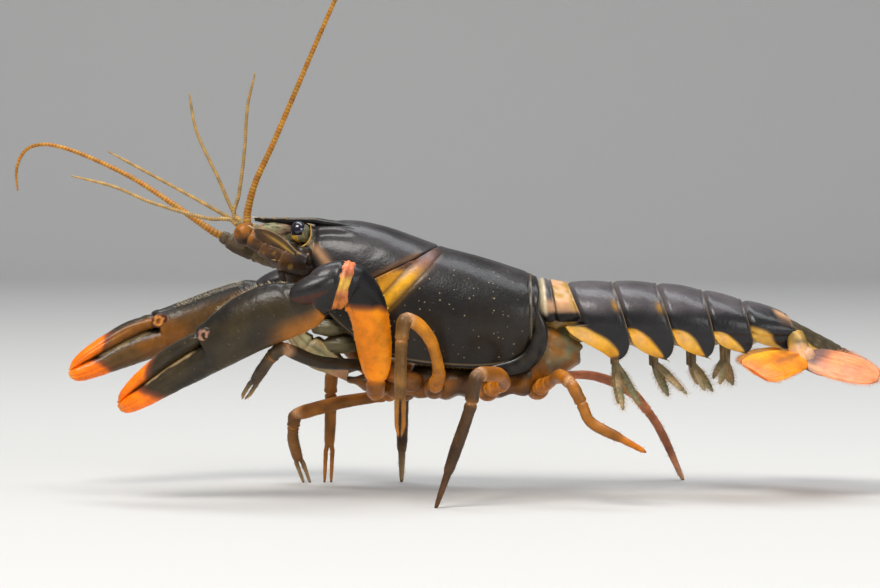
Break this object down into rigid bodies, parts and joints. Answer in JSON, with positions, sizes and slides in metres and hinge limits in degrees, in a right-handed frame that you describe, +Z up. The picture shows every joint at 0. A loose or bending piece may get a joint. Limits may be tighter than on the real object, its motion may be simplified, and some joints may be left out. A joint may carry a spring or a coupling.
{
  "type": "crayfish model",
  "caption": "Life-size still crayfish standing on its walking legs, claws reaching forward, feelers raised and tail fan spread.",
  "frame": {"origin": "middle of the floor under the model's bounding box", "axes": "+X from the head to the tail, +Z up, the animal's left side towards -Y"},
  "size_m": [0.1448, 0.047, 0.1005],
  "materials": {
    "dark_shell": "glossy, wet-looking shell",
    "claw_shell": "satin shell, finely pitted",
    "orange_shell": "glossy shell",
    "leg_shell": "satin shell",
    "soft_tan": "matt, slightly translucent",
    "whip": "matt, finely ringed",
    "tail_fin": "satin, fringed with hairs",
    "eye": "polished"
  },
  "bodies": {
    "root": {"abdomen_1": "dark_shell", "abdomen_2": "dark_shell", "abdomen_3": "dark_shell", "abdomen_4": "dark_shell", "abdomen_5": "dark_shell", "abdomen_6": "dark_shell", "antenna_left": "whip", "antenna_right": "whip", "antenna_root_left": "leg_shell", "antenna_root_right": "leg_shell", "antennule_left_long": "whip", "antennule_left_short": "whip", "antennule_right_long": "whip", "antennule_right_short": "whip", "antennule_root_left": "soft_tan", "antennule_root_right": "soft_tan", "claw_arm_left": "orange_shell", "claw_arm_right": "orange_shell", "claw_finger_left": "claw_shell", "claw_finger_right": "claw_shell", "claw_palm_left": "claw_shell", "claw_palm_right": "claw_shell", "claw_wrist_left": "claw_shell", "claw_wrist_right": "claw_shell", "eye_left": "eye", "eye_right": "eye", "head": "dark_shell", "jaw_leg_left": "soft_tan", "jaw_leg_right": "soft_tan", "leg_left_2_lower": "leg_shell", "leg_left_2_upper": "leg_shell", "leg_left_3_lower": "leg_shell", "leg_left_3_upper": "leg_shell", "leg_left_4_lower": "leg_shell", "leg_left_4_upper": "leg_shell", "leg_left_5_lower": "leg_shell", "leg_left_5_upper": "leg_shell", "leg_right_2_lower": "leg_shell", "leg_right_2_upper": "leg_shell", "leg_right_3_lower": "leg_shell", "leg_right_3_upper": "leg_shell", "leg_right_4_lower": "leg_shell", "leg_right_4_upper": "leg_shell", "leg_right_5_lower": "leg_shell", "leg_right_5_upper": "leg_shell", "sternum": "leg_shell", "swimmeret_left_2": "soft_tan", "swimmeret_left_3": "soft_tan", "swimmeret_left_4": "soft_tan", "swimmeret_left_5": "soft_tan", "swimmeret_right_2": "soft_tan", "swimmeret_right_3": "soft_tan", "swimmeret_right_4": "soft_tan", "swimmeret_right_5": "soft_tan", "telson": "tail_fin", "thorax": "dark_shell", "uropod_left": "tail_fin", "uropod_right": "tail_fin"}
  },
  "joints": []
}
